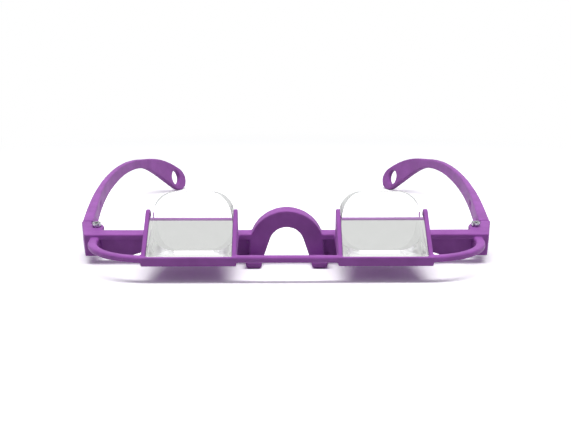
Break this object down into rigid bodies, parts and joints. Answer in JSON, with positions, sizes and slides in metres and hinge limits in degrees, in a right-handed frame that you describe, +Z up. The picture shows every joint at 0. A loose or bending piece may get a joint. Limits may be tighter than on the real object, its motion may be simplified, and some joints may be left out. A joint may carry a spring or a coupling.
{
  "type": "belay glasses",
  "caption": "Glasses with a glass prism in front of each eye, which turn a level gaze upwards, on a moulded frame with a nose bridge, a bumper rod and folding temples.",
  "frame": {"origin": "middle of the bounding box's bottom face, on the table that the two feet and the two temple tips stand on", "axes": "+X to the right as seen from in front, as in the node names, which is the wearer's left; +Y from the prisms back along the temples; +Z up"},
  "size_m": [0.1538, 0.1832, 0.0264],
  "materials": {
    "frame_nylon": "matte, fine powder grain",
    "temple_nylon": "matte, fine powder grain",
    "optical_glass": "polished",
    "mirror_backing": "polished metal film under grey protective paint",
    "screw_steel": "bright, slightly worn in the cross slot",
    "nut_steel": "bright",
    "washer_steel": "satin"
  },
  "bodies": {
    "frame": {"front_frame": "frame_nylon", "left_prism": "optical_glass", "right_prism": "optical_glass", "left_mirror": "mirror_backing", "right_mirror": "mirror_backing", "left_hinge_screw": "screw_steel", "right_hinge_screw": "screw_steel", "left_hinge_nut": "nut_steel", "right_hinge_nut": "nut_steel", "left_hinge_washer": "washer_steel", "right_hinge_washer": "washer_steel"},
    "left_temple": {"left_temple": "temple_nylon"},
    "right_temple": {"right_temple": "temple_nylon"}
  },
  "joints": [
    {"name": "left_temple_fold", "type": "hinge", "parent": "frame", "child": "left_temple", "pos_m": [-0.0685, -0.05691, 0.00749], "axis": [0, 0.148, -0.989], "range_deg": [0, 85]},
    {"name": "right_temple_fold", "type": "hinge", "parent": "frame", "child": "right_temple", "pos_m": [0.0685, -0.05691, 0.00749], "axis": [0, -0.148, 0.989], "range_deg": [0, 93]}
  ]
}
